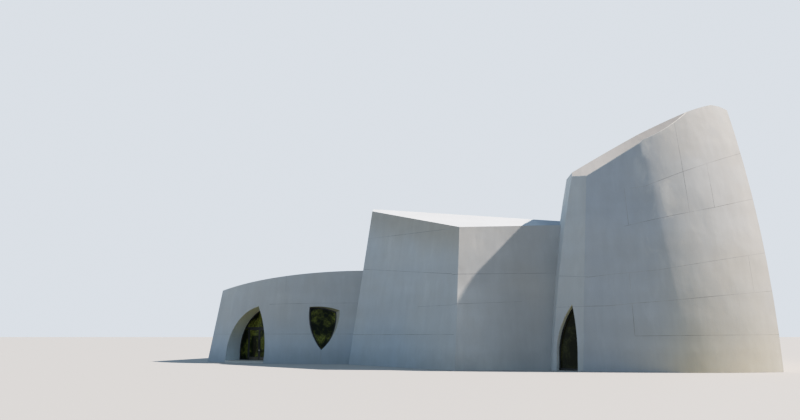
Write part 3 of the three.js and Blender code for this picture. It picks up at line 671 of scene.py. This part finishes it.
# Joints of each mass, as lines of (along, height) points on its elevations
JOINTS = {
    "wing": [
        ("front", [(-16.5, 1.82), (-4.0, 1.82)]),
        ("front", [(-11.9, 3.71), (-5.0, 3.76)]),
        ("front", [(-10.84, 4.5), (-10.87, 5.9)]),
        ("front", [(-8.40, 0.02), (-8.40, 0.80)]),
        ("left", [(1.45, 1.82), (8.22, 1.82)]),
        ("left", [(1.55, 3.71), (8.22, 3.71)]),
        ("left", [(4.2, 0.02), (4.2, 3.71)]),
        ("back", [(-16.5, 1.82), (-3.0, 1.82)]),
        ("back", [(-16.5, 3.71), (-3.0, 3.71)]),
        ("back", [(-9.8, 0.02), (-9.8, 1.82)]),
        ("back", [(-6.9, 1.82), (-6.9, 3.71)]),
    ],
    "hall": [
        ("front", [(-6.2, 7.78), (-0.85, 7.40)]),
        ("front", [(-6.2, 5.87), (-0.85, 4.915)]),
        ("front", [(-2.6, 3.28), (-0.85, 3.28)]),
        ("front", [(-6.5, 1.78), (-0.85, 1.78)]),
        ("front", [(-0.85, 4.86), (5.2, 4.99)]),
        ("front", [(-0.85, 3.31), (2.7, 3.46)]),
        ("back", [(-7.0, 1.78), (12.0, 1.78)]),
        ("back", [(-7.0, 4.20), (12.0, 4.20)]),
        ("back", [(-7.0, 6.60), (12.0, 6.60)]),
        ("back", [(-2.6, 1.78), (-2.6, 4.20)]),
        ("back", [(2.9, 0.02), (2.9, 4.20)]),
        ("back", [(6.4, 4.20), (6.4, 6.60)]),
        ("left", [(-2.18, 7.80), (7.42, 6.60)]),
    ],
    "sanctuary": [
        ("front", [(7.66, 1.70), (14.69, 1.77)]),
        ("front", [(4.0, 3.13), (6.6, 3.16), (7.7, 3.27), (9.2, 3.37), (14.68, 3.89)]),
        ("front", [(4.0, 4.80), (5.8, 4.60), (6.76, 4.71), (9.03, 4.89), (14.64, 5.81)]),
        ("front", [(7.66, 7.15), (8.82, 7.40), (10.08, 7.66), (12.19, 8.09), (14.52, 8.67)]),
        ("front", [(8.1, 9.16), (8.8, 9.21), (10.78, 9.98), (12.31, 10.53), (14.35, 11.24)]),
        ("front", [(7.66, 1.70), (7.66, 3.27)]),
        ("front", [(7.66, 3.97), (7.66, 4.78)]),
        ("front", [(7.86, 7.20), (7.86, 9.16)]),
        ("front", [(10.83, 7.81), (10.83, 13.4)]),
        ("front", [(12.18, 8.09), (12.18, 10.48)]),
        ("front", [(13.6, 3.79), (13.6, 5.62)]),
        ("right", [(-9.88, 1.77), (5.00, 1.78)]),
        ("right", [(-9.61, 3.89), (4.84, 4.02)]),
        ("right", [(-9.33, 5.81), (4.63, 6.40)]),
        ("right", [(-8.86, 8.67), (4.37, 8.92)]),
        ("right", [(-8.39, 11.24), (4.06, 11.45)]),
        ("right", [(-4.6, 1.78), (-4.6, 6.00)]),
        ("right", [(0.6, 3.98), (0.6, 8.84)]),
        ("back", [(8.0, 1.78), (17.0, 1.78)]),
        ("back", [(8.0, 4.02), (17.0, 4.02)]),
        ("back", [(8.0, 6.40), (17.0, 6.40)]),
        ("back", [(8.0, 8.92), (17.0, 8.92)]),
        ("back", [(8.0, 11.45), (17.0, 11.45)]),
        ("back", [(14.6, 4.02), (14.6, 8.92)]),
        ("left", [(-6.92, 8.92), (6.31, 8.92)]),
        ("left", [(4.34, 11.45), (5.90, 11.45)]),
    ],
}
for mass, lines in JOINTS.items():
    faces = outside(mass)
    bm = bmesh.new()
    for elevation, points in lines:
        for start, end in zip(points, points[1:]):
            for path in trace(faces, elevation, start, end):
                sweep(bm, path, JOINT_BAND)
    piece(f"{mass}_joints", bm, FILLER)


# ---- Flashing along the lower edge of the sanctuary's bevel ----
# Points of a chain that are nearer than this are one
SAME_POINT = 0.01


def millimetres(co):
    """A point to the nearest millimetre, by which equal corners find each other."""
    return tuple(round(c, 3) for c in co)


def edges_between(node, is_one, is_other):
    """Edges of a node between a face of one kind and one of the other, with the other's normal."""
    sides = defaultdict(list)
    for face, normal in all_faces([node]):
        for i in range(3):
            ends = face[i], face[(i + 1) % 3]
            sides[frozenset(map(millimetres, ends))].append((ends, normal))
    for touching in sides.values():
        one = [entry for entry in touching if is_one(entry[1])]
        other = [entry for entry in touching if is_other(entry[1])]
        if one and other:
            yield other[0]


def chain(edges, along):
    """Edges of one open line, as a path of (point, normal) in order along an axis."""
    path = []
    for ends, normal in sorted(edges, key=lambda entry: min(co.dot(along) for co in entry[0])):
        for co in sorted(ends, key=along.dot):
            if path and (co - path[-1][0]).length < SAME_POINT:
                path[-1][1] = (path[-1][1] + normal).normalized()
            else:
                path.append([co, normal])
    return path


FLASHING_STRIP = [(-0.034, 0.003), (-0.002, 0.003), (-0.002, -0.010), (-0.034, -0.010)]
bevel_edge = chain(edges_between(
    "sanctuary_roof",
    lambda normal: WALL_FACE < normal.z < BEVEL_FACE,
    lambda normal: abs(normal.z) < WALL_FACE and normal.y < -LOOKS_THERE,
), Vector((1, 0, 0)))
bm = bmesh.new()
sweep(bm, bevel_edge, FLASHING_STRIP)
piece("sanctuary_bevel_flashing", bm, FLASHING)


# ---- Sheet lining under the head of the shield window ----
# Its pale olive colour is painted green bounce light
# How far the sheet stands off the concrete, how thick it is, how low it comes, and how far the
# concrete over it must look down
LINING_GAP, LINING_SHEET = 0.001, 0.003
LINING_FROM, LINING_DOWN = 3.0, -0.5

# The way along which its corners and faces are put in order, which solidify leaves to chance
LINING_ORDER = Vector((1.0, 0.37, 0.61))

bm = bmesh.new()
for face, normal in all_faces(["wing_front_wall_right"]):
    if normal.z < LINING_DOWN and min(co.z for co in face) > LINING_FROM:
        bm.faces.new([bm.verts.new(co + normal * LINING_GAP) for co in face])
bmesh.ops.remove_doubles(bm, verts=bm.verts, dist=LINING_GAP)
bmesh.ops.solidify(bm, geom=bm.faces[:], thickness=-LINING_SHEET)
bm.verts.sort(key=lambda vert: vert.co.dot(LINING_ORDER))
bm.faces.sort(key=lambda face: face.calc_center_median().dot(LINING_ORDER))
piece("shield_window_head_lining", bm, BOUNCE_LIT_OLIVE)


# ---- Glazing beads ----
def rim(node):
    """The outline of a pane's outer face, as a closed path of (point, outward normal)."""
    area = defaultdict(float)
    for face, normal in all_faces([node]):
        size = (face[1] - face[0]).cross(face[2] - face[0]).length
        area[tuple(round(c, 2) for c in normal)] += size
    facing = Vector(max(area, key=area.get)).normalized()
    outer = facing if facing.y < 0 or "rear" in node else -facing
    edges = [(face[i], face[(i + 1) % 3]) for face, normal in all_faces([node])
             if normal.dot(outer) > 0.99 for i in range(3)]
    count = defaultdict(int)
    for ends in edges:
        count[frozenset(map(millimetres, ends))] += 1
    follows = {millimetres(a): b for a, b in edges
               if count[frozenset((millimetres(a), millimetres(b)))] == 1}
    first = next(iter(follows))
    path = [(follows[first], outer)]
    while millimetres(path[-1][0]) != first:
        path.append((follows[millimetres(path[-1][0])], outer))
    return path


# A bead on the edge of a pane, as (across, outward) points
BEAD = [(-0.001, -0.004), (-0.001, 0.009), (0.004, 0.010), (0.009, 0.006), (0.011, -0.004)]
LEAF_OF = {f"{leaf}_glass": leaf for leaf in LEAVES}
for node in [n for n in NODES if "glass" in n]:
    bm = bmesh.new()
    sweep(bm, rim(node), BEAD, closed=True)
    piece(f"{node}_bead", bm, RUBBER, LEAF_OF.get(node, "building"), smooth=50)


# ---- Door hardware ----
# Distances from a leaf's hinge pin, along the leaf or out towards the street, and heights above
# the ground
LEAF_START, LEAF_END = 0.003, 0.914
PULL_AT = 0.8765
OUTER_FACE, INNER_FACE = -0.013, -0.058
OUTER_PULL, INNER_PULL = 0.047, -0.118
HINGE_TOPS = (0.3603, 1.2003, 2.0403)
PULL_ENDS = (0.850, 1.450)
PULL_STAYS = (0.910, 1.390)
CYLINDER_HEIGHT = 0.775
KICK_WIDE, KICK_HIGH, KICK_DEEP = 0.800, 0.150, 0.0015
KICK_HEIGHT = 0.228
SCREW_ROW, SCREW_INSET = (-1, -1 / 3, 1 / 3, 1), 0.014

# Turned profiles, as (radius, height) points
PIN = [(0.0062, -0.060), (0.0062, 0.0), (0.0105, 0.0), (0.0112, 0.002), (0.0105, 0.006),
       (0.006, 0.009)]
CAP = [(0.0150, -0.006), (0.0162, -0.006), (0.0166, -0.002), (0.0166, 0.001), (0.0150, 0.004),
       (0.0100, 0.006)]
ROSETTE = [(0.0190, -0.001), (0.0190, 0.002), (0.0175, 0.0035), (0.0125, 0.0040),
           (0.0115, 0.0060), (0.0080, 0.0060)]
CYLINDER = [(0.0260, -0.001), (0.0260, 0.003), (0.0240, 0.005), (0.0125, 0.005),
            (0.0125, 0.0105), (0.0110, 0.0120), (0.0040, 0.0120), (0.0034, 0.0108)]
SCREW = [(0.0042, -0.001), (0.0042, 0.0008), (0.0030, 0.0016), (0.0012, 0.0017)]

pins = {joint["child"]: Vector(joint["pos_m"]) for joint in frame["joints"]}
for leaf, other in (LEAVES, LEAVES[::-1]):
    along = (pins[other] - pins[leaf]).normalized()
    out = along.cross(UP) if along.x > 0 else UP.cross(along)
    sides = ((OUTER_FACE, out), (INNER_FACE, -out))
    foot = Vector((pins[leaf].x, pins[leaf].y, 0))
    pull_foot = foot + along * PULL_AT

    bm = bmesh.new()
    for top in HINGE_TOPS:
        turned(bm, foot + UP * top, PIN)
    piece(f"{leaf}_hinge_pins", bm, STEEL, leaf, smooth=40)

    bm = bmesh.new()
    for pull in (OUTER_PULL, INNER_PULL):
        for end, way in zip(PULL_ENDS, (-UP, UP)):
            turned(bm, pull_foot + out * pull + UP * end, CAP, way, steps=24)
    for face, way in sides:
        for stay in PULL_STAYS:
            turned(bm, pull_foot + out * face + UP * stay, ROSETTE, way, steps=24)
    piece(f"{leaf}_pull_fittings", bm, SATIN, leaf, smooth=40)

    bm = bmesh.new()
    for face, way in sides:
        turned(bm, pull_foot + out * face + UP * CYLINDER_HEIGHT, CYLINDER, way, steps=28)
    piece(f"{leaf}_lock_cylinder", bm, STEEL, leaf, smooth=40)

    bm = bmesh.new()
    for face, way in sides:
        centre = foot + along * ((LEAF_START + LEAF_END) / 2) + out * face + UP * KICK_HEIGHT
        plate(bm, centre, along, way, KICK_WIDE, KICK_HIGH, KICK_DEEP)
        for i in SCREW_ROW:
            for j in (-1, 1):
                aside = along * (i * (KICK_WIDE / 2 - SCREW_INSET))
                above = UP * (j * (KICK_HIGH / 2 - SCREW_INSET))
                turned(bm, centre + (aside + above) + way * KICK_DEEP, SCREW, way, steps=12)
    piece(f"{leaf}_kick_plates", bm, SATIN, leaf, smooth=30)


# ---- Threshold ----
# It lies between the door posts, low enough to clear the leaves by 5 mm, and has grooves along
# its top. Its profile is in (across, height) points
GROOVE_SPACING = 0.008
TOP, GROOVE_BOTTOM = 0.0024, 0.0014
GROOVE = [(-0.0028, TOP), (-0.0018, GROOVE_BOTTOM), (0.0018, GROOVE_BOTTOM), (0.0028, TOP)]
THRESHOLD = [(-0.040, -0.002), (-0.040, 0.0006), (-0.030, TOP)]
for groove in range(-3, 4):
    THRESHOLD += [(groove * GROOVE_SPACING + across, rise) for across, rise in GROOVE]
THRESHOLD += [(0.030, TOP), (0.040, 0.0006), (0.040, -0.002)]
left_pin, right_pin = (pins[leaf] for leaf in LEAVES)
mid_leaf = (right_pin - left_pin).normalized().cross(UP) * ((OUTER_FACE + INNER_FACE) / 2)
floor_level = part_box("porch_floor")[1][2]
bm = bmesh.new()
sweep(bm, [(Vector((pin.x, pin.y, floor_level)) + mid_leaf, UP) for pin in (left_pin, right_pin)],
      THRESHOLD)
piece("entrance_threshold", bm, SATIN)


# ---- Floor, light and camera ----
FLOOR_REACH, FLOOR_LEVEL = 900.0, -0.004
FLOOR_GREY, FLOOR_ROUGHNESS = (0.40, 0.40, 0.40), 0.9

# The camera sees a plain floor. The light that bounces off it is weak near the building,
# stronger further out, and warm off a patch in front of the sail wall
BOUNCE, BOUNCE_NEAR, BOUNCE_FAR = (1.0, 0.98, 0.95), 0.055, 0.19
WARM_BOUNCE, WARM_PLACE = (0.36, 0.29, 0.13), (12.5, -13.0, 0.0)

floor_mesh = bpy.data.meshes.new("floor")
floor_mesh.from_pydata([(x * FLOOR_REACH, y * FLOOR_REACH, FLOOR_LEVEL) for x, y in SQUARE],
                       [], [(0, 1, 2, 3)])
floor = bpy.data.objects.new("floor", floor_mesh)
bpy.context.scene.collection.objects.link(floor)
ground = Look("studio_floor")
strength = ground.step(ground.distance((0, 0, 0)), 12.0, 20.0, BOUNCE_NEAR, BOUNCE_FAR)
warm = ground.step(ground.distance(WARM_PLACE), 2.5, 6.5, 1.0, 0.0)
bounced = ground.mix(warm, ground.shade(BOUNCE, strength), WARM_BOUNCE)
camera_ray = ground.nodes.new("ShaderNodeLightPath").outputs["Is Camera Ray"]
colour = ground.mix(camera_ray, bounced, FLOOR_GREY)
floor_mesh.materials.append(ground.finish(colour, FLOOR_ROUGHNESS))

# One key light from the right, as soft as a slightly hazy sun
SUN_AZIMUTH, SUN_HEIGHT = math.radians(88.5), math.radians(46.0)
sun_data = bpy.data.lights.new("key", "SUN")
sun_data.energy = 8.1
sun_data.color = (1.0, 0.875, 0.775)
sun_data.angle = math.radians(1.2)
sun = bpy.data.objects.new("key", sun_data)
bpy.context.scene.collection.objects.link(sun)
towards = Vector((math.cos(SUN_HEIGHT) * math.sin(SUN_AZIMUTH),
                  math.cos(SUN_HEIGHT) * math.cos(SUN_AZIMUTH), math.sin(SUN_HEIGHT)))
sun.rotation_euler = towards.to_track_quat("Z", "Y").to_euler()

world = bpy.data.worlds.new("studio")
bpy.context.scene.world = world
world.use_nodes = True
sky_nodes, sky_links = world.node_tree.nodes, world.node_tree.links
sky_nodes.clear()


def background(colour):
    node = sky_nodes.new("ShaderNodeBackground")
    node.inputs["Color"].default_value = (*colour, 1)
    return node


# The fill is stronger from the left, and the backdrop that the camera sees is plain
fill, backdrop = background((0.285, 0.388, 0.485)), background((0.84, 0.92, 1.02))
direction = sky_nodes.new("ShaderNodeSeparateXYZ")
sky_links.new(sky_nodes.new("ShaderNodeTexCoord").outputs["Generated"], direction.inputs[0])
lopsided = sky_nodes.new("ShaderNodeMapRange")
lopsided.inputs["From Min"].default_value = -1.0
lopsided.inputs["To Min"].default_value = 1.7
lopsided.inputs["To Max"].default_value = 0.3
sky_links.new(direction.outputs["X"], lopsided.inputs["Value"])
sky_links.new(lopsided.outputs["Result"], fill.inputs["Strength"])
choose = sky_nodes.new("ShaderNodeMixShader")
sky_links.new(sky_nodes.new("ShaderNodeLightPath").outputs["Is Camera Ray"], choose.inputs[0])
sky_links.new(fill.outputs[0], choose.inputs[1])
sky_links.new(backdrop.outputs[0], choose.inputs[2])
sky_links.new(choose.outputs[0], sky_nodes.new("ShaderNodeOutputWorld").inputs[0])

camera_data = bpy.data.cameras.new("camera")
camera_data.lens = 26.01
camera_data.sensor_width = 36.0
camera_data.shift_y = 0.06875
camera_data.clip_end = 2000
camera = bpy.data.objects.new("camera", camera_data)
camera.location = PROW + Vector((-2.71, -28.9, 1.7))
camera.rotation_euler = (math.radians(97.0), 0, 0)
bpy.context.scene.collection.objects.link(camera)
bpy.context.scene.camera = camera

# Bright tones are compressed, so that the sunny side keeps its texture
BRIGHTEST = 2.5
TONES = [(0.0, 0.0), (0.2, 0.2), (0.42, 0.42), (0.62, 0.58), (0.85, 0.71), (1.2, 0.85),
         (1.7, 0.94), (BRIGHTEST, 1.0)]
shown = bpy.context.scene.view_settings
shown.view_transform = "Standard"
shown.use_curve_mapping = True
shown.curve_mapping.white_level = (BRIGHTEST,) * 3
curve = shown.curve_mapping.curves[3].points
curve[0].location, curve[1].location = TONES[0], (1.0, TONES[-1][1])
for bright, tone in TONES[1:-1]:
    curve.new(bright / BRIGHTEST, tone)
shown.curve_mapping.update()
